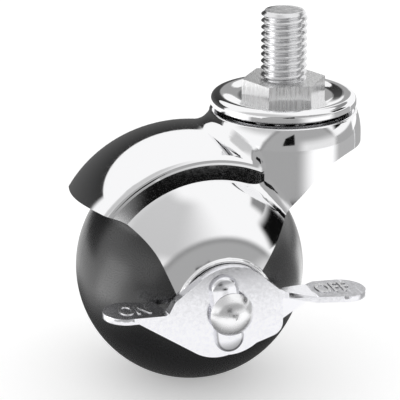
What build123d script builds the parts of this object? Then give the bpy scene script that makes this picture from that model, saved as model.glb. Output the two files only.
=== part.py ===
from build123d import *
from math import acos, atan2, cos, degrees, radians, sin, sqrt, tan
import os

# Hooded ball castor with a threaded stem and a rocker brake, in millimetres
# The origin is on the stem axis at the hex nut's top face, +Z up
# The wheel trails towards -X, and the brake lever is on the -Y side

# Overall sizes and fits
wheel_diameter = 50.0
trail = 21.4
wheel_headroom = 2.1
running_gap = 0.08
side_gap = 0.1
match_width = 0.05
edge_shares = (0.0, 0.3, 0.6, 1.0)

# Threaded stem with its collar and kingpin
stem_radius = 5.0
stem_length = 15.0
stem_chamfer = 0.7
stem_relief = 0.75
collar_radius = 7.0
collar_height = 2.2
pin_radius = 4.0
pin_head_radius = 4.8
pin_head_height = 1.2

# Hex nut
nut_across_flats = 15.9
nut_height = 4.0
nut_turn = 51.4

# Cap, a dished disc with a rolled edge
cap_setback = 0.1
cap_sheet = 1.2
cap_slope_width = 3.3
cap_dish_width = 3.0
cap_crest_rise = 0.5
cap_edge_drop = 0.9
cap_roll = 0.3

# Swivel bearing
bearing_ball_radius = 1.5
bearing_ball_count = 16
pitch_radius = 10.6
race_thickness = 1.6
race_gap = 1.8
race_land = 0.9
upper_race_overhang = 2.0
upper_race_lip = 0.5
dust_ring_width = 1.1
dust_ring_gap = 0.3
dust_ring_drop = 0.4
kingpin_washer_radius = 5.6
kingpin_washer_thickness = 0.7

# Hood, one casting: swivel housing, crown over the wheel, and two ears
housing_wall = 1.6
housing_flare = 1.0
housing_flare_depth = 5.4
housing_rim_drop = 6.8
housing_rim_round = 0.6
race_floor = 1.7
shelf_drop = 13.8
crown_clearance = 7.2
crown_wall = 2.5
crown_half_width = 14.5
crown_shoulder_round = 2.0
ear_clearance = 3.2
ear_wall = 1.7
boss_radius = 10.7
boss_face = 27.0
boss_wall = 1.8
boss_round = 0.4
crease_round = 3.5
visor_height = 18.7
visor_corner_round = 14.0
ear_front_angle = 163.5
ear_front_slope = 69.0
ear_rear_angle = 41.6
neck_slope = 46.0
neck_round = 14.5

# Wheel, two moulded half shells on a steel sleeve
wheel_wall = 3.0
hub_radius = 7.0
hub_face = 23.4
wheel_rib_count = 6
wheel_rib_width = 1.6
sleeve_wall = 0.9
sleeve_setback = 0.2

# Axle rivet, washers and spring
axle_radius = 2.5
axle_head_radius = 4.7
axle_head_height = 2.4
axle_tail_radius = 4.2
axle_tail_height = 1.7
axle_washer_radius = 6.4
axle_washer_thickness = 1.0
thrust_washer_radius = 6.6
thrust_washer_thickness = 0.8
brake_disc_radius = 8.0
lever_spring_radius = 5.4
lever_spring_thickness = 0.4
lever_washer_radius = 8.0
lever_washer_thickness = 0.7

# Brake lever, pressed from one sheet
lever_sheet = 1.3
lever_radius = 10.1
flange_depth = 2.2
rib_width = 6.3
rib_length = 17.2
rib_height = 1.1
rib_round = 0.8
rib_tilt = 6.5
rib_offset = 0.9
on_step = (-11.4, 3.2)
on_foot = (-13.0, 0.25)
on_tip_z = 0.6
on_bend_round = 1.6
on_reach = 26.1
on_half_width = 4.75
on_setback = 4.7
on_neck_depth = 8.0
off_step = (11.2, 2.75)
off_foot = (19.0, 0.9)
off_tip_z = 0.45
off_bend_round = 3.0
off_reach = 31.0
off_half_width = 5.0
off_setback = 3.3
off_neck_depth = 3.2
plate_left_tip = 20.9
plate_low_point = (-3.9, -10.6)
plate_low_round = 9.0
plate_right_drop = 5.6
plate_corner_round = 3.0
web_start = 11.6
web_length = 6.6
web_foot = 2.6
web_bend = 12.0

# Sizes that follow from the bearing and the wheel
wheel_radius = wheel_diameter / 2
stem_core_radius = stem_radius - stem_relief
upper_race_radius = pitch_radius + bearing_ball_radius + race_land
upper_race_lip_radius = upper_race_radius + upper_race_overhang
bore_radius = upper_race_radius + dust_ring_gap + dust_ring_width
rim_radius = bore_radius + housing_wall
housing_radius = rim_radius + housing_flare
cap_radius = rim_radius - cap_setback
cap_crest_radius = cap_radius - cap_slope_width
cap_dish_radius = cap_crest_radius - cap_dish_width
flare_radius = (housing_flare_depth**2 + housing_flare**2) / (2 * housing_flare)
crown_radius = wheel_radius + crown_clearance
ear_radius = wheel_radius + ear_clearance

# Places that follow from the sizes
wheel_x = -trail
rim_z = -housing_rim_drop
flare_z = rim_z - housing_flare_depth
cap_under = -nut_height - cap_sheet
upper_race_under = cap_under - race_thickness
lower_race_top = upper_race_under - race_gap
lower_race_under = lower_race_top - race_thickness
bearing_z = (upper_race_under + lower_race_top) / 2
floor_under = lower_race_under - race_floor
pin_foot_z = floor_under - side_gap - kingpin_washer_thickness
wheel_z = pin_foot_z - pin_head_height - wheel_headroom - wheel_radius
boss_inside = boss_face - boss_wall
sleeve_radius = axle_radius + running_gap + sleeve_wall
lever_washer_face = boss_face + lever_spring_thickness
lever_back = lever_washer_face + lever_washer_thickness + side_gap
lever_front = lever_back + lever_sheet
from_side = Plane(origin=(wheel_x, 0, wheel_z), x_dir=(1, 0, 0), z_dir=(0, -1, 0))
across_wheel = Plane(origin=(wheel_x, 0, wheel_z), x_dir=(0, 1, 0), z_dir=(1, 0, 0))
axle_axis = Axis((wheel_x, 0, wheel_z), (0, 1, 0))

os.makedirs("parts", exist_ok=True)


def polar(radius, angle):
    """The point at a radius and an angle in degrees about the wheel's centre."""
    return (radius * cos(radians(angle)), radius * sin(radians(angle)))


def distance(point):
    """How far a point of a side view is from the wheel's centre."""
    return sqrt(point[0] ** 2 + point[1] ** 2)


def polar_angle(point):
    """The angle in degrees of a point of a side view about the wheel's centre."""
    return degrees(atan2(point[1], point[0]))


def dome_radius(base_radius, height):
    """The sphere's radius for a domed head with this base and height."""
    return (base_radius**2 + height**2) / (2 * height)


def wall_radius(height):
    """The radius of the housing's outer wall, which narrows in one arc towards its rim."""
    above = max(height - flare_z, 0)
    return housing_radius - flare_radius + sqrt(flare_radius**2 - above**2)


def on_housing(edge):
    """True for an edge that meets the housing's outer wall, apart from where its arc begins."""
    points = [edge @ share for share in edge_shares]
    on_wall = all(abs(distance((p.X, p.Y)) - wall_radius(p.Z)) < match_width for p in points)
    return on_wall and any(abs(p.Z - flare_z) > match_width for p in points)


def ring(outer_radius, inner_radius, near_face, thickness):
    """A flat ring about the axle that starts at a distance from the wheel's middle plane."""
    with BuildPart() as flat_ring:
        with BuildSketch(from_side.offset(near_face)):
            Circle(outer_radius)
            Circle(inner_radius, mode=Mode.SUBTRACT)
        extrude(amount=thickness)
    return flat_ring


# Side outline of the hood about the wheel's centre, with the neck as one long curve
front_foot = polar(boss_radius, ear_front_angle)
rear_foot = polar(boss_radius, ear_rear_angle)
shelf_z = -shelf_drop - wheel_z
visor_corner_x = front_foot[0] - (visor_height - front_foot[1]) / tan(radians(ear_front_slope))
neck_corner_x = rear_foot[0] + (shelf_z - rear_foot[1]) / tan(radians(neck_slope))
outline_front = -crown_radius - housing_wall
outline_back = trail + housing_radius + housing_wall
outline_top = 2 * crown_radius
with BuildSketch() as side_outline:
    with BuildLine():
        FilletPolyline(
            (outline_front, visor_height),
            (visor_corner_x, visor_height),
            front_foot,
            (0, 0),
            rear_foot,
            (neck_corner_x, shelf_z),
            (outline_back, shelf_z),
            (outline_back, outline_top),
            (outline_front, outline_top),
            radius=[0, visor_corner_round, 0, 0, 0, neck_round, 0, 0, 0],
            close=True,
        )
    make_face()
    Circle(boss_radius)

# Half sections across the wheel: the hood's outer form and the well inside it
with BuildSketch() as crown_section:
    Circle(crown_radius)
    Rectangle(2 * crown_half_width, 2 * crown_radius, mode=Mode.INTERSECT)
    fillet(crown_section.vertices(), crown_shoulder_round)

with BuildSketch() as hood_section:
    Circle(ear_radius)
    Rectangle(2 * boss_face, 2 * crown_radius, mode=Mode.INTERSECT)
    Rectangle(2 * boss_face, 2 * boss_radius)
    boss_corners = hood_section.vertices().filter_by_position(
        Axis.Y, boss_radius - match_width, boss_radius + match_width
    )
    fillet(boss_corners, boss_round)
    add(crown_section.sketch)
    Rectangle(
        2 * crown_radius,
        crown_radius,
        align=(Align.CENTER, Align.MIN),
        mode=Mode.INTERSECT,
    )

with BuildSketch() as well_section:
    Circle(crown_radius - crown_wall)
    Rectangle(2 * (crown_half_width - ear_wall), 2 * crown_radius, mode=Mode.INTERSECT)
    Circle(ear_radius - ear_wall)
    Rectangle(2 * boss_inside, 2 * crown_radius, mode=Mode.INTERSECT)
    Rectangle(2 * boss_inside, 2 * (brake_disc_radius + side_gap))
    Rectangle(
        2 * crown_radius,
        crown_radius,
        align=(Align.CENTER, Align.MIN),
        mode=Mode.INTERSECT,
    )

# Space in the neck below the race floor, which leaves a wall round it and opens to the wheel
with BuildPart() as neck_pocket:
    with BuildSketch(Plane.XY.offset(floor_under)):
        Circle(bore_radius)
    extrude(amount=wheel_z - floor_under)
    with BuildSketch(from_side):
        offset(side_outline.sketch, amount=-housing_wall)
    extrude(amount=housing_radius, both=True, mode=Mode.INTERSECT)

# Hood: crown, ears and bosses turned about the axle, and the upright swivel housing
with BuildPart() as hood:
    with BuildSketch(across_wheel):
        add(hood_section.sketch)
    revolve(axis=axle_axis)
    with BuildSketch(Plane.XZ) as housing_section:
        with BuildLine():
            flare = TangentArc(
                (housing_radius, flare_z),
                (rim_radius, rim_z),
                tangent=(0, 1),
            )
            Polyline(
                flare @ 1,
                (0, rim_z),
                (0, wheel_z),
                (housing_radius, wheel_z),
                flare @ 0,
            )
        make_face()
        rim_corners = housing_section.vertices().group_by(Axis.Y)[-1]
        fillet(rim_corners.sort_by(Axis.X)[-1], housing_rim_round)
    revolve(axis=Axis.Z)
    creases = hood.edges().filter_by(on_housing).filter_by(GeomType.BSPLINE)
    fillet(creases.filter_by_position(Axis.Z, wheel_z, rim_z), crease_round)
    with BuildSketch(from_side):
        add(side_outline.sketch)
    extrude(amount=crown_radius, both=True, mode=Mode.INTERSECT)
    with BuildSketch(across_wheel):
        add(well_section.sketch)
    revolve(axis=axle_axis, mode=Mode.SUBTRACT)
    add(neck_pocket.part, mode=Mode.SUBTRACT)
    with BuildSketch(Plane.XY.offset(rim_z)):
        Circle(bore_radius)
    extrude(amount=lower_race_under - rim_z, mode=Mode.SUBTRACT)
    with BuildSketch(Plane.XY.offset(lower_race_under)):
        Circle(pin_radius + running_gap)
    extrude(amount=wheel_z - lower_race_under, mode=Mode.SUBTRACT)
    with BuildSketch(from_side):
        Circle(axle_radius)
    extrude(amount=crown_radius, both=True, mode=Mode.SUBTRACT)

# Threaded stem: screw end, collar under the cap, and a kingpin riveted over below
with BuildPart() as threaded_stem:
    with BuildSketch(Plane.XZ):
        with BuildLine():
            Polyline(
                (0, pin_foot_z - pin_head_height),
                (0, stem_length),
                (stem_radius - stem_chamfer, stem_length),
                (stem_radius, stem_length - stem_chamfer),
                (stem_radius, 0),
                (stem_core_radius, 0),
                (stem_core_radius, cap_under),
                (collar_radius, cap_under),
                (collar_radius, cap_under - collar_height),
                (pin_radius, cap_under - collar_height),
                (pin_radius, pin_foot_z),
                (pin_head_radius, pin_foot_z),
            )
            RadiusArc(
                (pin_head_radius, pin_foot_z),
                (0, pin_foot_z - pin_head_height),
                dome_radius(pin_head_radius, pin_head_height),
            )
        make_face()
    revolve(axis=Axis.Z)

# Hex nut that holds the cap down on the stem's collar
with BuildPart() as stem_nut:
    with BuildSketch(Plane.XY.offset(-nut_height)):
        RegularPolygon(nut_across_flats / 2, 6, major_radius=False, rotation=nut_turn)
        Circle(stem_core_radius, mode=Mode.SUBTRACT)
    extrude(amount=nut_height)
    bore_rims = stem_nut.edges().filter_by(GeomType.CIRCLE)
    chamfer(bore_rims.sort_by(Axis.Z)[-1], stem_relief)

# Cap with a dish for the nut, a raised crest and a rolled edge
with BuildPart() as top_cap:
    with BuildSketch(Plane.XZ):
        with BuildLine():
            crest = Spline(
                (cap_dish_radius, -nut_height),
                (cap_crest_radius, cap_crest_rise - nut_height),
                (cap_radius, -nut_height - cap_edge_drop),
                tangents=[(1, 0), (0, -1)],
            )
            Polyline(
                crest @ 1,
                (cap_radius, cap_under - cap_roll),
                (upper_race_radius, cap_under - cap_roll),
                (upper_race_radius, cap_under),
                (stem_core_radius, cap_under),
                (stem_core_radius, -nut_height),
                crest @ 0,
            )
        make_face()
    revolve(axis=Axis.Z)

# Upper race, held by the collar, with a thin lip under the cap's edge
with BuildPart() as upper_race:
    with BuildSketch(Plane.XY.offset(upper_race_under)):
        Circle(upper_race_radius)
        Circle(collar_radius, mode=Mode.SUBTRACT)
    extrude(amount=race_thickness)
    with BuildSketch(Plane.XY.offset(cap_under - cap_roll)):
        Circle(upper_race_lip_radius)
        Circle(collar_radius, mode=Mode.SUBTRACT)
    extrude(amount=-upper_race_lip)
    with BuildSketch(Plane.XZ):
        with Locations((pitch_radius, bearing_z)):
            Circle(bearing_ball_radius + side_gap)
    revolve(axis=Axis.Z, mode=Mode.SUBTRACT)

# Lower race, pressed in the housing, with the ring of balls standing in its groove
with BuildPart() as lower_race:
    with BuildSketch(Plane.XY.offset(lower_race_under)):
        Circle(bore_radius)
        Circle(collar_radius, mode=Mode.SUBTRACT)
    extrude(amount=race_thickness)
    with BuildSketch(Plane.XZ):
        with Locations((pitch_radius, bearing_z)):
            Circle(bearing_ball_radius)
    revolve(axis=Axis.Z, mode=Mode.SUBTRACT)

with BuildPart() as bearing_balls:
    with Locations((0, 0, bearing_z)):
        with PolarLocations(pitch_radius, bearing_ball_count):
            Sphere(bearing_ball_radius)

# Dust ring on the lower race, round the upper race
with BuildPart() as dust_ring:
    with BuildSketch(Plane.XY.offset(lower_race_top)):
        Circle(bore_radius)
        Circle(upper_race_radius + dust_ring_gap, mode=Mode.SUBTRACT)
    extrude(amount=rim_z - dust_ring_drop - lower_race_top)

with BuildPart() as kingpin_washer:
    with BuildSketch(Plane.XY.offset(floor_under - side_gap)):
        Circle(kingpin_washer_radius)
        Circle(pin_radius, mode=Mode.SUBTRACT)
    extrude(amount=-kingpin_washer_thickness)

# Wheel: ribbed half shells, the same moulding on both sides of the middle plane
wheel_cavity_radius = wheel_radius - wheel_wall
with BuildPart() as wheel_ribs:
    with BuildSketch(from_side):
        with PolarLocations(wheel_cavity_radius / 2, wheel_rib_count):
            Rectangle(wheel_cavity_radius, wheel_rib_width)
        Circle(hub_radius - wheel_rib_width, mode=Mode.SUBTRACT)
    extrude(amount=-wheel_radius)
    with BuildSketch(across_wheel):
        Circle(wheel_radius - wheel_wall / 2)
        Rectangle(
            wheel_radius,
            wheel_radius,
            align=(Align.MIN, Align.MIN),
            mode=Mode.INTERSECT,
        )
    revolve(axis=axle_axis, mode=Mode.INTERSECT)

with BuildPart() as wheel_half_far:
    with BuildSketch(across_wheel):
        Circle(wheel_radius)
        Circle(wheel_cavity_radius, mode=Mode.SUBTRACT)
        Rectangle(2 * wheel_radius, 2 * hub_radius)
        Rectangle(2 * wheel_radius, 2 * sleeve_radius, mode=Mode.SUBTRACT)
        Circle(wheel_radius, mode=Mode.INTERSECT)
        Rectangle(
            hub_face,
            wheel_radius,
            align=(Align.MIN, Align.MIN),
            mode=Mode.INTERSECT,
        )
    revolve(axis=axle_axis)
    add(wheel_ribs.part)

with BuildPart() as wheel_half_near:
    add(wheel_half_far.part)
    mirror(about=Plane.XZ, mode=Mode.REPLACE)

wheel_sleeve = ring(
    sleeve_radius,
    axle_radius + running_gap,
    sleeve_setback - hub_face,
    2 * (hub_face - sleeve_setback),
)

# Discs and washers along the axle, with the lever on the near side
thrust_face = hub_face + side_gap
near_thrust_washer = ring(thrust_washer_radius, axle_radius, thrust_face, thrust_washer_thickness)
brake_disc_face = thrust_face + thrust_washer_thickness
brake_disc = ring(
    brake_disc_radius,
    axle_radius,
    brake_disc_face,
    boss_inside - brake_disc_face,
)
far_thrust_washer = ring(thrust_washer_radius, axle_radius, -boss_inside, boss_inside - thrust_face)
lever_spring = ring(lever_spring_radius, axle_radius, boss_face, lever_spring_thickness)
lever_washer = ring(lever_washer_radius, axle_radius, lever_washer_face, lever_washer_thickness)
axle_washer = ring(
    axle_washer_radius,
    axle_radius,
    -boss_face - axle_washer_thickness,
    axle_washer_thickness,
)

# Axle rivet: domed head over the lever's rib, and a riveted tail on the far side
head_face = lever_front + rib_height + side_gap
tail_face = boss_face + axle_washer_thickness
with BuildPart() as axle_rivet:
    with BuildSketch(across_wheel):
        with BuildLine():
            Polyline(
                (tail_face + axle_tail_height, 0),
                (-head_face - axle_head_height, 0),
            )
            RadiusArc(
                (-head_face - axle_head_height, 0),
                (-head_face, axle_head_radius),
                dome_radius(axle_head_radius, axle_head_height),
            )
            Polyline(
                (-head_face, axle_head_radius),
                (-head_face, axle_radius),
                (tail_face, axle_radius),
                (tail_face, axle_tail_radius),
            )
            RadiusArc(
                (tail_face, axle_tail_radius),
                (tail_face + axle_tail_height, 0),
                dome_radius(axle_tail_radius, axle_tail_height),
            )
        make_face()
    revolve(axis=axle_axis)

# Brake lever: the top flange runs out to both pedals as one strip, seen here from the side
strip_radius = lever_radius - lever_sheet / 2
on_tangent = polar_angle(on_step) - degrees(acos(strip_radius / distance(on_step)))
off_tangent = polar_angle(off_step) + degrees(acos(strip_radius / distance(off_step)))
flange_back = flange_depth - lever_front
on_depth = lever_front - on_setback
off_depth = lever_front - off_setback
on_centre_x = on_half_width - on_reach
off_centre_x = off_reach - off_half_width
web_share = web_length / (off_foot[0] - web_start)
web_tip_z = off_step[1] + web_share * (off_foot[1] - off_step[1])
bend = radians(web_bend)
web_plane = Plane(
    origin=(wheel_x + web_start, -lever_front, wheel_z),
    x_dir=(cos(bend), sin(bend), 0),
    z_dir=(sin(bend), -cos(bend), 0),
)
with BuildPart() as brake_lever:
    with BuildSketch(from_side):
        with BuildLine():
            over_axle = CenterArc((0, 0), strip_radius, off_tangent, on_tangent - off_tangent)
            FilletPolyline(
                over_axle @ 0,
                off_step,
                off_foot,
                (off_reach, off_tip_z),
                radius=off_bend_round,
            )
            FilletPolyline(
                over_axle @ 1,
                on_step,
                on_foot,
                (-on_reach, on_tip_z),
                radius=on_bend_round,
            )
        trace(line_width=lever_sheet)
    extrude(amount=off_depth + off_half_width)

    # The strip's outline from above: two round pedals, their necks and the narrow flange
    with BuildSketch(Plane(origin=(wheel_x, 0, wheel_z))):
        with Locations((on_centre_x, -on_depth)):
            Circle(on_half_width)
        Polygon(
            (on_centre_x, on_half_width - on_depth),
            (on_foot[0] - lever_sheet, on_neck_depth - lever_front),
            (on_foot[0], flange_back),
            (on_step[0] + lever_sheet, flange_back),
            (on_step[0] + lever_sheet, -lever_front),
            (on_centre_x, -lever_front),
            align=None,
        )
        with Locations((0, -lever_front)):
            Rectangle(
                2 * web_start,
                flange_depth,
                align=(Align.CENTER, Align.MIN),
            )
        with Locations((off_centre_x, -off_depth)):
            Circle(off_half_width)
        Polygon(
            (web_start, flange_back),
            (web_start + lever_sheet, off_neck_depth - lever_front),
            (off_centre_x - off_half_width, off_half_width - off_depth - match_width),
            (off_centre_x, off_half_width - off_depth),
            (off_centre_x, -off_half_width - off_depth),
            (web_start + lever_sheet, -lever_front),
            (web_start, -lever_front),
            align=None,
        )
    extrude(amount=2 * lever_radius, both=True, mode=Mode.INTERSECT)

    # Front plate, a lens round the axle that runs out to a point under the left pedal
    with BuildSketch(from_side.offset(lever_back)):
        with BuildLine():
            FilletPolyline(
                over_axle @ 1,
                on_step,
                on_foot,
                (-plate_left_tip, on_tip_z),
                plate_low_point,
                (web_start, -plate_right_drop),
                (web_start, off_step[1]),
                off_step,
                over_axle @ 0,
                radius=[0, 0, 0, 0, plate_low_round, plate_corner_round, 0, 0, 0],
                close=True,
            )
        make_face()
        Circle(strip_radius)
    extrude(amount=lever_sheet)

    # Web under the right-hand pedal's neck, bent back from the plate's end
    with BuildSketch(web_plane):
        Polygon(
            (0, -web_foot),
            (web_length, web_tip_z - lever_sheet / 2),
            (web_length, web_tip_z),
            (0, off_step[1]),
            align=None,
        )
    extrude(amount=-lever_sheet)

    # Upright pressed rib round the axle, hollow behind, and the bore
    with BuildSketch(from_side.offset(lever_back)):
        with Locations((-rib_offset, 0)):
            SlotOverall(rib_length, rib_width, rotation=90 + rib_tilt)
    extrude(amount=lever_sheet + rib_height)
    rib_y = -lever_front - rib_height
    rib_top = brake_lever.faces().filter_by_position(Axis.Y, rib_y - match_width, rib_y + match_width)
    fillet(rib_top.edges(), rib_round)
    with BuildSketch(from_side.offset(lever_back)):
        with Locations((-rib_offset, 0)):
            SlotOverall(
                rib_length - 2 * lever_sheet,
                rib_width - 2 * lever_sheet,
                rotation=90 + rib_tilt,
            )
    extrude(amount=rib_height, mode=Mode.SUBTRACT)
    with BuildSketch(from_side.offset(lever_back)):
        Circle(axle_radius + running_gap)
    extrude(amount=lever_sheet + rib_height, mode=Mode.SUBTRACT)

pieces = {
    "threaded_stem": threaded_stem,
    "stem_nut": stem_nut,
    "top_cap": top_cap,
    "upper_race": upper_race,
    "hood": hood,
    "lower_race": lower_race,
    "bearing_balls": bearing_balls,
    "dust_ring": dust_ring,
    "kingpin_washer": kingpin_washer,
    "axle_rivet": axle_rivet,
    "axle_washer": axle_washer,
    "near_thrust_washer": near_thrust_washer,
    "far_thrust_washer": far_thrust_washer,
    "brake_disc": brake_disc,
    "lever_spring": lever_spring,
    "lever_washer": lever_washer,
    "wheel_half_near": wheel_half_near,
    "wheel_half_far": wheel_half_far,
    "wheel_sleeve": wheel_sleeve,
    "brake_lever": brake_lever,
}
for name, piece in pieces.items():
    piece.part.label = name
    export_step(piece.part, f"parts/{name}.step")
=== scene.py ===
"""Looks for the hooded ball castor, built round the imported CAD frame. Blender works in metres,
and the lengths named here are in millimetres."""

import math

import bmesh
import bpy
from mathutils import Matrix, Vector


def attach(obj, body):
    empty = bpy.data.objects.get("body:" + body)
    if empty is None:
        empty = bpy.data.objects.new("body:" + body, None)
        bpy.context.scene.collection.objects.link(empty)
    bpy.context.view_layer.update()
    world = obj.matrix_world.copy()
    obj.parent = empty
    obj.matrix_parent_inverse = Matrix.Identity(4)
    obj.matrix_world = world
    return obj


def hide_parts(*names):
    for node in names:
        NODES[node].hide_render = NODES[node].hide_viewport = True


MM = 0.001

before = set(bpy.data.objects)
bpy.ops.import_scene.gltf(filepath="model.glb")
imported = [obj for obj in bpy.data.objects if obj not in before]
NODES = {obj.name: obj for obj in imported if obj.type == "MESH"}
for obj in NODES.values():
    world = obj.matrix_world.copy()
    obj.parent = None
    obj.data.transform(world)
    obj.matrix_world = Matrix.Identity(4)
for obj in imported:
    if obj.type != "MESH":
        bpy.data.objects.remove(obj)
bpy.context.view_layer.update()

# Fixed places, in millimetres
WHEEL_X = -21.4
WHEEL_Z = -41.0
FLOOR_Z = -66.0

# The lever's pressed rib, in millimetres and degrees, and how fast its face falls away
RIB_X = -22.3
RIB_HALF_WIDTH = 3.15
RIB_HALF_RUN = 5.45
RIB_TILT = 6.5
RIB_CROWN = 105.0


# Materials
def material(name, colour, metallic, rough, **sockets):
    """A principled material whose plain values sit on the shader's own sockets."""
    mat = bpy.data.materials.new(name)
    mat.use_nodes = True
    tree = mat.node_tree
    shader = tree.nodes["Principled BSDF"]
    shader.inputs["Base Color"].default_value = (*colour, 1)
    shader.inputs["Metallic"].default_value = metallic
    shader.inputs["Roughness"].default_value = rough
    for key, value in sockets.items():
        shader.inputs[key.replace("_", " ")].default_value = value
    return mat, tree, shader


def coords(tree, scale=(1, 1, 1)):
    """Object coordinates through a mapping, for patterns that stay on the surface."""
    where = tree.nodes.new("ShaderNodeTexCoord")
    mapping = tree.nodes.new("ShaderNodeMapping")
    mapping.inputs["Scale"].default_value = scale
    tree.links.new(where.outputs["Object"], mapping.inputs["Vector"])
    return mapping.outputs["Vector"]


def noise(tree, vector, scale, detail=3.0, rough=0.55):
    """A noise texture's value."""
    node = tree.nodes.new("ShaderNodeTexNoise")
    node.inputs["Scale"].default_value = scale
    node.inputs["Detail"].default_value = detail
    node.inputs["Roughness"].default_value = rough
    tree.links.new(vector, node.inputs["Vector"])
    return node.outputs["Fac"]


def ranged(tree, value, low, high, a, b, smooth=False):
    """Maps a value from one range to another."""
    node = tree.nodes.new("ShaderNodeMapRange")
    node.interpolation_type = "SMOOTHSTEP" if smooth else "LINEAR"
    node.inputs["From Min"].default_value = low
    node.inputs["From Max"].default_value = high
    node.inputs["To Min"].default_value = a
    node.inputs["To Max"].default_value = b
    tree.links.new(value, node.inputs["Value"])
    return node.outputs["Result"]


def maths(tree, operation, a, b=0.0):
    """A maths node on one or two values, each a socket or a number."""
    node = tree.nodes.new("ShaderNodeMath")
    node.operation = operation
    for socket, value in zip(node.inputs, (a, b)):
        if isinstance(value, (int, float)):
            socket.default_value = value
        else:
            tree.links.new(value, socket)
    return node.outputs[0]


def bump(tree, shader, height, strength, distance):
    """Bumps a shader's surface by a height."""
    node = tree.nodes.new("ShaderNodeBump")
    node.inputs["Strength"].default_value = strength
    node.inputs["Distance"].default_value = distance
    tree.links.new(height, node.inputs["Height"])
    tree.links.new(node.outputs["Normal"], shader.inputs["Normal"])


def mixed(tree, factor, a, b):
    """A colour between two, by a factor."""
    node = tree.nodes.new("ShaderNodeMix")
    node.data_type = "RGBA"
    node.inputs["A"].default_value = (*a, 1)
    node.inputs["B"].default_value = (*b, 1)
    tree.links.new(factor, node.inputs["Factor"])
    return node.outputs["Result"]


def chrome_like(name, colour, smooth_rough, worn_rough, scale):
    """Bright plating: a fine haze that comes and goes over the surface."""
    mat, tree, shader = material(name, colour, 1.0, smooth_rough)
    haze = noise(tree, coords(tree), scale)
    hazed = ranged(tree, haze, 0.35, 0.7, smooth_rough, worn_rough)
    tree.links.new(hazed, shader.inputs["Roughness"])
    return mat, tree, shader


def object_parts(tree):
    """The three object coordinates, in metres."""
    where = tree.nodes.new("ShaderNodeTexCoord")
    parts = tree.nodes.new("ShaderNodeSeparateXYZ")
    tree.links.new(where.outputs["Object"], parts.inputs[0])
    return parts.outputs


def rib_crown(tree, shader):
    """Shades the lever's pressed rib as a dome, by the distance from its middle line."""
    x, _, z = object_parts(tree)
    tilt = math.radians(RIB_TILT)
    x = maths(tree, "SUBTRACT", x, RIB_X * MM)
    z = maths(tree, "SUBTRACT", z, WHEEL_Z * MM)
    across = maths(
        tree,
        "ADD",
        maths(tree, "MULTIPLY", x, math.cos(tilt)),
        maths(tree, "MULTIPLY", z, math.sin(tilt)),
    )
    along = maths(
        tree,
        "SUBTRACT",
        maths(tree, "MULTIPLY", z, math.cos(tilt)),
        maths(tree, "MULTIPLY", x, math.sin(tilt)),
    )
    past = maths(tree, "SUBTRACT", maths(tree, "ABSOLUTE", along), RIB_HALF_RUN * MM)
    past = maths(tree, "MAXIMUM", past, 0)
    square = maths(
        tree,
        "ADD",
        maths(tree, "MULTIPLY", past, past),
        maths(tree, "MULTIPLY", across, across),
    )
    near = maths(tree, "MINIMUM", square, (RIB_HALF_WIDTH * MM) ** 2)
    bump(tree, shader, maths(tree, "MULTIPLY", near, -RIB_CROWN), 1.0, 1.0)


def draft(tree, shader, slope, radius):
    """Tilts the shading inside a radius about the stem, as if the wall had a casting's draft."""
    x, y, z = object_parts(tree)
    square = maths(tree, "ADD", maths(tree, "MULTIPLY", x, x), maths(tree, "MULTIPLY", y, y))
    inside = maths(tree, "LESS_THAN", maths(tree, "SQRT", square), radius)
    lean = tree.nodes.new("ShaderNodeBump")
    lean.inputs["Strength"].default_value = 1.0
    lean.inputs["Distance"].default_value = 1.0
    tree.links.new(maths(tree, "MULTIPLY", z, -slope), lean.inputs["Height"])
    plain = tree.nodes.new("ShaderNodeNewGeometry")
    choose = tree.nodes.new("ShaderNodeMix")
    choose.data_type = "VECTOR"
    tree.links.new(inside, choose.inputs["Factor"])
    tree.links.new(plain.outputs["Normal"], choose.inputs["A"])
    tree.links.new(lean.outputs["Normal"], choose.inputs["B"])
    tree.links.new(choose.outputs["Result"], shader.inputs["Normal"])


CHROME = (0.93, 0.93, 0.94)
LEVER_TINT = (0.87, 0.87, 0.9)
BEARING_TINT = (0.5, 0.5, 0.51)
FINE_HAZE = 900.0
LEVER_HAZE = 1400.0
HOUSING_DRAFT = 0.05
HOUSING_REACH = 17.15

chrome, _, _ = chrome_like("chrome", CHROME, 0.03, 0.07, FINE_HAZE)
hood_chrome, tree, shader = chrome_like("hood_chrome", CHROME, 0.05, 0.08, FINE_HAZE)
draft(tree, shader, HOUSING_DRAFT, HOUSING_REACH * MM)
rivet_chrome, _, _ = chrome_like("rivet_chrome", CHROME, 0.2, 0.3, FINE_HAZE)
lever_chrome, tree, shader = chrome_like("lever_chrome", LEVER_TINT, 0.16, 0.26, LEVER_HAZE)
rib_crown(tree, shader)
word_chrome, _, _ = chrome_like("word_chrome", CHROME, 0.2, 0.3, LEVER_HAZE)
bearing, _, _ = chrome_like("bearing_steel", BEARING_TINT, 0.2, 0.34, 1200.0)

zinc, tree, shader = material("zinc_steel", (0.8, 0.8, 0.81), 1.0, 0.2)
grain = noise(tree, coords(tree, (1.0, 1.0, 2.0)), 700.0, 4.0)
tree.links.new(ranged(tree, grain, 0.3, 0.7, 0.12, 0.3), shader.inputs["Roughness"])
bump(tree, shader, grain, 0.5, 0.00008)

nut_steel, tree, shader = material("nut_steel", (0.8, 0.8, 0.8), 1.0, 0.3)
brushed = noise(tree, coords(tree, (1.0, 1.0, 0.05)), 3600.0, 2.0)
tree.links.new(ranged(tree, brushed, 0.35, 0.65, 0.2, 0.4), shader.inputs["Roughness"])
streaks = ranged(tree, brushed, 0.38, 0.6, 0, 1)
streaked = mixed(tree, streaks, (0.72, 0.72, 0.72), (0.88, 0.88, 0.88))
tree.links.new(streaked, shader.inputs["Base Color"])
bump(tree, shader, brushed, 0.15, 0.00004)

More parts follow.
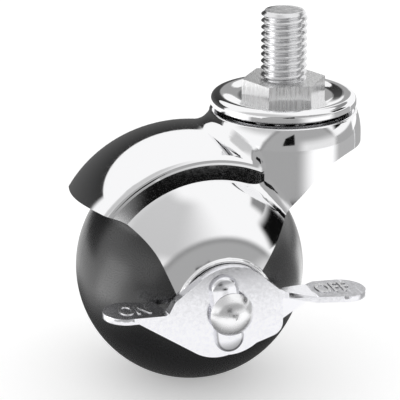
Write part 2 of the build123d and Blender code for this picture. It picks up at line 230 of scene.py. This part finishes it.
rubber, tree, shader = material("black_rubber", (0.012, 0.012, 0.012), 0.0, 0.7)
grain = noise(tree, coords(tree), 2500.0)
tree.links.new(ranged(tree, grain, 0.3, 0.7, 0.6, 0.8), shader.inputs["Roughness"])

nylon, tree, shader = material("white_nylon", (0.72, 0.71, 0.67), 0.0, 0.45)
grain = noise(tree, coords(tree), 1500.0)
tree.links.new(ranged(tree, grain, 0.3, 0.7, 0.4, 0.5), shader.inputs["Roughness"])

plastic, tree, shader = material("black_plastic", (0.006, 0.006, 0.007), 0.0, 0.3, IOR=1.75)
grain = noise(tree, coords(tree), 5200.0, 3.0)
tree.links.new(ranged(tree, grain, 0.3, 0.7, 0.24, 0.3), shader.inputs["Roughness"])
bump(tree, shader, grain, 0.03, 0.00003)

MATERIALS = {
    "chrome": chrome,
    "zinc_steel": zinc,
    "nut_steel": nut_steel,
    "bearing_steel": bearing,
    "black_rubber": rubber,
    "white_nylon": nylon,
    "black_plastic": plastic,
}
for name, obj in NODES.items():
    for entry in obj.material_slots:
        key = entry.material.name.split(".")[0]
        entry.material = MATERIALS[key]
OWN_MATERIALS = {"brake_lever": lever_chrome, "hood": hood_chrome, "axle_rivet": rivet_chrome}
for name, mat in OWN_MATERIALS.items():
    for entry in NODES[name].material_slots:
        entry.material = mat


# Pieces
def new_object(name, mesh, mat, body):
    """A piece that rides on a body, with the material it is given on its one slot."""
    obj = bpy.data.objects.new(name, mesh)
    bpy.context.scene.collection.objects.link(obj)
    mesh.materials.append(mat)
    for polygon in mesh.polygons:
        polygon.use_smooth = True
    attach(obj, body)
    return obj


# The threaded stem, in millimetres: its screw thread runs down into the nut
STEM_RADIUS = 5.0
STEM_LENGTH = 15.0
STEM_CHAMFER = 0.8
THREAD_PITCH = 1.5
THREAD_DEPTH = 0.74
THREAD_COLUMNS = 96
THREAD_ROWS = 170
THREAD_FOOT = -1.4
CORE_RADIUS = 4.25
COLLAR_RADIUS = 7.0
COLLAR_TOP = -5.2
COLLAR_FOOT = -7.4
PIN_RADIUS = 4.0
PIN_FOOT = -12.7
PIN_HEAD_RADIUS = 4.8
STEM_EDGE_ANGLE = 50

# Radii and heights from the riveted head, up the kingpin and the collar, to the thread's foot
STEM_FOOT = (
    (1.8, PIN_FOOT - 1.15),
    (3.4, PIN_FOOT - 0.85),
    (4.5, PIN_FOOT - 0.4),
    (PIN_HEAD_RADIUS, PIN_FOOT),
    (PIN_RADIUS, PIN_FOOT),
    (PIN_RADIUS, COLLAR_FOOT),
    (COLLAR_RADIUS, COLLAR_FOOT),
    (COLLAR_RADIUS, COLLAR_TOP),
    (CORE_RADIUS, COLLAR_TOP),
    (CORE_RADIUS, THREAD_FOOT - 0.1),
)


def thread_radius(angle, height):
    """The stem's radius at an angle and a height, with rounded crests and roots."""
    phase = (height / THREAD_PITCH - angle / (2 * math.pi)) % 1.0
    ridge = abs(2 * phase - 1)
    ridge = ridge * ridge * (3 - 2 * ridge)
    radius = STEM_RADIUS - THREAD_DEPTH * (1 - ridge)
    top = STEM_RADIUS - STEM_CHAMFER + (STEM_LENGTH - height)
    return min(radius, top)


def stem_ring(shape, height, radius=None):
    """A ring of points at a height, round or at the thread's own radius."""
    ring = []
    for k in range(THREAD_COLUMNS):
        angle = 2 * math.pi * k / THREAD_COLUMNS
        out = thread_radius(angle, height) if radius is None else radius
        point = Vector((out * math.cos(angle), out * math.sin(angle), height)) * MM
        ring.append(shape.verts.new(point))
    return ring


shape = bmesh.new()
rings = [stem_ring(shape, height, radius) for radius, height in STEM_FOOT]
row_height = (STEM_LENGTH - THREAD_FOOT) / THREAD_ROWS
for i in range(THREAD_ROWS + 1):
    rings.append(stem_ring(shape, THREAD_FOOT + row_height * i))
for share in (0.8, 0.45):
    rings.append(stem_ring(shape, STEM_LENGTH, share * (STEM_RADIUS - STEM_CHAMFER)))
for lower, upper in zip(rings, rings[1:]):
    for k in range(THREAD_COLUMNS):
        n = (k + 1) % THREAD_COLUMNS
        shape.faces.new((lower[k], lower[n], upper[n], upper[k]))
shape.faces.new(rings[-1])
shape.faces.new(list(reversed(rings[0])))
mesh = bpy.data.meshes.new("stem_thread")
shape.to_mesh(mesh)
shape.free()
thread = new_object("stem_thread", mesh, zinc, "stem_head")
sharp = thread.modifiers.new("edges", "EDGE_SPLIT")
sharp.split_angle = math.radians(STEM_EDGE_ANGLE)
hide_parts("threaded_stem")

# Edges of the pressed lever, rounded as a press leaves them
LEVER_WELD = 0.002
LEVER_ROUND = 0.22
LEVER_EDGE_ANGLE = 40
lever = NODES["brake_lever"]
joined = lever.modifiers.new("joined", "WELD")
joined.merge_threshold = LEVER_WELD * MM
rounded = lever.modifiers.new("rounded", "BEVEL")
rounded.width = LEVER_ROUND * MM
rounded.segments = 2
rounded.limit_method = "ANGLE"
rounded.angle_limit = math.radians(LEVER_EDGE_ANGLE)
rounded.harden_normals = True


# Raised words on the pedals, read from the lever's side. Lengths are in millimetres, and
# CAPITAL is a capital letter's share of the type's size.
CAPITAL = 0.7
WORD_HEIGHT = 0.07
WORD_ROUND = 0.05
WORD_BOLD = 0.1


def word(name, text, place, width, depth, tilt):
    """A raised word on a pedal: its middle, its size in millimetres and the pedal's slope."""
    curve = bpy.data.curves.new(name, "FONT")
    curve.body = text
    curve.align_x = "CENTER"
    curve.align_y = "CENTER"
    curve.size = depth * MM / CAPITAL
    curve.extrude = WORD_HEIGHT * MM
    curve.bevel_depth = WORD_ROUND * MM
    curve.bevel_resolution = 1
    curve.resolution_u = 6
    curve.offset = WORD_BOLD * MM
    curve.materials.append(word_chrome)
    obj = bpy.data.objects.new(name, curve)
    bpy.context.scene.collection.objects.link(obj)
    bpy.context.view_layer.update()
    obj.scale = (width * MM / obj.dimensions.x, 1.0, 1.0)
    obj.location = Vector(place) * MM
    obj.rotation_euler = (0, math.radians(tilt), 0)
    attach(obj, "lever")


word("word_on", "ON", (-40.9, -25.0, -39.88), 6.6, 4.8, 1.5)
word("word_off", "OFF", (2.4, -25.8, -39.57), 7.4, 4.8, 2.1)

# Camera, in millimetres; its lens is set for a picture 400 wide
CAMERA_PLACE = (-147.27, -417.9, 126.94)
CAMERA_TARGET = (-18.96, 0.0, -26.28)
PICTURE_WIDTH = 400
LENS_IN_PIXELS = 2119.7
camera_data = bpy.data.cameras.new("camera")
camera = bpy.data.objects.new("camera", camera_data)
bpy.context.scene.collection.objects.link(camera)
camera.location = Vector(CAMERA_PLACE) * MM
target = Vector(CAMERA_TARGET) * MM
camera.rotation_mode = "QUATERNION"
camera.rotation_quaternion = (target - camera.location).to_track_quat("-Z", "Y")
camera_data.sensor_width = 36.0
camera_data.lens = LENS_IN_PIXELS / PICTURE_WIDTH * camera_data.sensor_width
camera_data.clip_start = 0.01
camera_data.clip_end = 20.0
bpy.context.scene.camera = camera
bpy.context.scene.view_settings.view_transform = "Standard"

# World: white where it is seen or mirrored, and a little less where it lights matt surfaces
LIGHT_LEVEL = 0.85


def seen_or_mirrored(tree):
    """1 where a ray comes from the camera, a mirroring or a clear surface, otherwise 0."""
    path = tree.nodes.new("ShaderNodeLightPath")
    seen = maths(tree, "MAXIMUM", path.outputs["Is Camera Ray"], path.outputs["Is Glossy Ray"])
    return maths(tree, "MAXIMUM", seen, path.outputs["Is Transmission Ray"])


world = bpy.data.worlds.new("studio")
bpy.context.scene.world = world
world.use_nodes = True
sky = world.node_tree
background = sky.nodes["Background"]
background.inputs["Color"].default_value = (1, 1, 1, 1)
brightness = ranged(sky, seen_or_mirrored(sky), 0, 1, LIGHT_LEVEL, 1.0)
sky.links.new(brightness, background.inputs["Strength"])


# Floor and cards
def stage_mesh(name, build, mat):
    """A stage object from a bmesh builder."""
    mesh = bpy.data.meshes.new(name)
    shape = bmesh.new()
    build(shape)
    shape.to_mesh(mesh)
    shape.free()
    obj = bpy.data.objects.new(name, mesh)
    bpy.context.scene.collection.objects.link(obj)
    mesh.materials.append(mat)
    return obj


FLOOR_LIFT = 0.36
FLOOR_SIZE = 4.0
paper = bpy.data.materials.new("floor_paper")
paper.use_nodes = True
tree = paper.node_tree
shader = tree.nodes["Principled BSDF"]
shader.inputs["Base Color"].default_value = (0.88, 0.88, 0.88, 1)
shader.inputs["Roughness"].default_value = 0.9
shader.inputs["Specular IOR Level"].default_value = 0.0
shader.inputs["Emission Color"].default_value = (1, 1, 1, 1)
lift = ranged(tree, seen_or_mirrored(tree), 0, 1, 0, FLOOR_LIFT)
tree.links.new(lift, shader.inputs["Emission Strength"])
floor = stage_mesh(
    "floor",
    lambda shape: bmesh.ops.create_grid(shape, x_segments=1, y_segments=1, size=FLOOR_SIZE),
    paper,
)
floor.location = (0, 0, FLOOR_Z * MM)

# Cards that only mirroring surfaces see, on a sphere round CARD_CENTRE, upright in front, or
# just above the floor. CARD_STEP is in degrees.
CARD_STEP = 3.0
CARD_CENTRE = Vector((-15.0, -8.0, -25.0))
CARD_DISTANCE = 420.0
ROUND_CARD_STEPS = (72, 12)
FLOOR_CARD_LIFT = 0.1
FLOOR_SECTOR_LIFT = 0.2
BLACK = 0.004


def way(azimuth, elevation):
    """The direction at an azimuth, 0 in front and 90 to the right, and an elevation, in degrees."""
    a, e = math.radians(azimuth), math.radians(elevation)
    return Vector((math.sin(a) * math.cos(e), -math.cos(a) * math.cos(e), math.sin(e)))


def card_material(name, level, top_level, fades):
    """A glowing card, its brightness graded from bottom to top. It fades to nothing over these
    shares of its width and height: at the left, right, bottom and top, one at least above 0."""
    mat = bpy.data.materials.new(name)
    mat.use_nodes = True
    tree = mat.node_tree
    tree.nodes.clear()
    out = tree.nodes.new("ShaderNodeOutputMaterial")
    glow = tree.nodes.new("ShaderNodeEmission")
    clear = tree.nodes.new("ShaderNodeBsdfTransparent")
    mix = tree.nodes.new("ShaderNodeMixShader")
    tree.links.new(clear.outputs[0], mix.inputs[1])
    tree.links.new(glow.outputs[0], mix.inputs[2])
    tree.links.new(mix.outputs[0], out.inputs["Surface"])
    where = tree.nodes.new("ShaderNodeUVMap")
    where.uv_map = "share"
    parts = tree.nodes.new("ShaderNodeSeparateXYZ")
    tree.links.new(where.outputs["UV"], parts.inputs[0])
    across, up = parts.outputs[0], parts.outputs[1]
    tree.links.new(ranged(tree, up, 0, 1, level, top_level), glow.inputs["Strength"])
    left, right, bottom, top = fades
    edges = ((across, 0, left), (across, 1, 1 - right), (up, 0, bottom), (up, 1, 1 - top))
    strength = 1.0
    for value, edge, full in edges:
        if edge != full:
            low, high = sorted((edge, full))
            share = ranged(tree, value, low, high, float(low != edge), float(low == edge), True)
            strength = maths(tree, "MULTIPLY", share, strength)
    tree.links.new(strength, mix.inputs[0])
    return mat


def grid_card(name, place, across, up, mat):
    """A card seen only in mirrors. place gives its point for a share across and a share up."""

    def build(shape):
        layer = shape.loops.layers.uv.new("share")
        grid = {}
        for j in range(up + 1):
            for i in range(across + 1):
                grid[i, j] = shape.verts.new(place(i / across, j / up) * MM)
        for j in range(up):
            for i in range(across):
                corners = ((i, j), (i + 1, j), (i + 1, j + 1), (i, j + 1))
                face = shape.faces.new([grid[corner] for corner in corners])
                for loop, corner in zip(face.loops, corners):
                    loop[layer].uv = (corner[0] / across, corner[1] / up)

    obj = stage_mesh(name, build, mat)
    obj.visible_camera = False
    obj.visible_diffuse = False
    obj.visible_transmission = False
    obj.visible_shadow = False
    return obj


def far_card(name, corners, level, fades, top_level=None, distance=CARD_DISTANCE):
    """A card on a sphere round the object. Its corners are azimuth and elevation in degrees:
    bottom left, bottom right, top right, top left."""
    low_left, low_right, top_right, top_left = [Vector(corner) for corner in corners]

    def place(u, v):
        low = low_left.lerp(low_right, u)
        high = top_left.lerp(top_right, u)
        return CARD_CENTRE + way(*low.lerp(high, v)) * distance

    across = max(2, round(abs(low_right.x - low_left.x) / CARD_STEP))
    up = max(2, round(abs(top_left.y - low_left.y) / CARD_STEP))
    mat = card_material(name, level, level if top_level is None else top_level, fades)
    return grid_card(name, place, across, up, mat)


def round_card(name, azimuth, elevation, radius, level, rim_level, distance):
    """A round card on the sphere, with a soft edge that glows at another level. Its directions
    and its radius are in degrees."""
    middle = way(azimuth, elevation)
    side = middle.cross(Vector((0, 0, 1))).normalized()
    top = side.cross(middle)

    def place(u, v):
        turn = 2 * math.pi * u
        out = math.radians(radius) * v
        aside = side * math.cos(turn) + top * math.sin(turn)
        return CARD_CENTRE + (middle * math.cos(out) + aside * math.sin(out)) * distance

    mat = card_material(name, level, level, (0, 0, 0, 0.1))
    tree = mat.node_tree
    glow = next(node for node in tree.nodes if node.type == "EMISSION")
    up = next(node for node in tree.nodes if node.type == "SEPXYZ").outputs[1]
    rim = ranged(tree, up, 0.84, 0.93, level, rim_level, smooth=True)
    tree.links.new(rim, glow.inputs["Strength"])
    return grid_card(name, place, *ROUND_CARD_STEPS, mat)


def flat_card(name, x, y, z, level, fades):
    """An upright flat card in front of the object, between two x and two z values."""

    def place(u, v):
        return Vector((x[0] + (x[1] - x[0]) * u, y, z[0] + (z[1] - z[0]) * v))

    return grid_card(name, place, 4, 4, card_material(name, level, level, fades))


def floor_card(name, x, y, level, fade):
    """A card just above the floor, round the object's foot."""

    def place(u, v):
        along = x[0] + (x[1] - x[0]) * u
        back = y[0] + (y[1] - y[0]) * v
        return Vector((along, back, FLOOR_Z + FLOOR_CARD_LIFT))

    return grid_card(name, place, 4, 4, card_material(name, level, level, (fade,) * 4))


def floor_sector(name, azimuths, radii, level, fades):
    """A card just above the floor, a sector about the ball between two azimuths and two radii."""

    def place(u, v):
        azimuth = math.radians(azimuths[0] + (azimuths[1] - azimuths[0]) * u)
        out = radii[0] + (radii[1] - radii[0]) * v
        side, front = out * math.sin(azimuth), -out * math.cos(azimuth)
        return Vector((WHEEL_X + side, front, FLOOR_Z + FLOOR_SECTOR_LIFT))

    return grid_card(name, place, 24, 4, card_material(name, level, level, fades))


# Cards round the object: dark behind, at the right, low in front and by the camera, pale at
# the left and the lower right, and a small lamp at the left
far_card(
    "card_back",
    ((159.5, -12), (240, -12), (240, 33), (159.5, 30)),
    level=0.14,
    top_level=0.03,
    fades=(0.03, 0.08, 0, 0.02),
)
far_card(
    "card_right",
    ((60, 13), (99, 13), (96, 36), (62, 36)),
    level=BLACK,
    fades=(0.25, 0.15, 0, 0.4),
)
far_card(
    "card_left",
    ((-104, 14), (30, 14), (30, 84), (-104, 84)),
    level=0.58,
    top_level=0.62,
    fades=(0.15, 0.5, 0.2, 0.2),
    distance=450,
)
far_card(
    "card_left_glow",
    ((-112, -6), (-76, -6), (-76, 8), (-112, 8)),
    level=2.3,
    fades=(0.25, 0.2, 0, 0.3),
)
far_card(
    "card_right_low",
    ((60, -6), (106, -6), (106, 6), (60, 6)),
    level=0.4,
    fades=(0.2, 0.1, 0, 0.2),
)
far_card(
    "card_pedal",
    ((148, 15), (161, 15), (161, 28), (148, 28)),
    level=0.36,
    fades=(0.15, 0, 0.15, 0.15),
    distance=423,
)
far_card(
    "card_right_top",
    ((74, 33), (148, 28), (148, 46), (74, 46)),
    level=0.26,
    fades=(0.15, 0.1, 0.1, 0.25),
    distance=424,
)
round_card("card_opening", 8, -20, 63, level=0.40, rim_level=0.28, distance=440)
far_card(
    "card_bright",
    ((0, -26), (72, -26), (72, 14), (0, 16)),
    level=0.8,
    top_level=0.85,
    fades=(0.25, 0.15, 0, 0.35),
    distance=435,
)
far_card(
    "card_camera",
    ((-19, 4), (1, 5), (1, 24), (-14, 17)),
    level=BLACK,
    fades=(0.1, 0.1, 0.1, 0.1),
    distance=380,
)
flat_card("card_low", (-20, 26), -110, (-70, -45), BLACK, (0.26, 0.06, 0, 0.06))

# Cards on the floor: a dark patch round the foot that is painted shade under the object for the
# mirrors to see, greys in front and at the right, two lamps
# Painted shade: this dark card stands in for the floor's shade round the foot, seen only in
# reflections
floor_card("card_floor_shade", (-90, 48), (-62, 90), 0.12, 0.3)
floor_sector("card_front", (-75, 33), (118, 600), 0.38, (0.1, 0.27, 0.04, 0))
floor_sector("card_right_floor", (56, 108), (62, 600), 0.46, (0.3, 0.06, 0.03, 0))
floor_sector("card_left_lamp", (-114, -76), (52, 420), 2.3, (0.25, 0.3, 0.08, 0.2))
floor_sector("card_right_lamp", (110, 130), (52, 168), 2.2, (0.2, 0.3, 0.1, 0.1))
floor_sector("card_right_rear", (107.5, 150), (172, 700), 0.42, (0, 0.15, 0.02, 0.2))
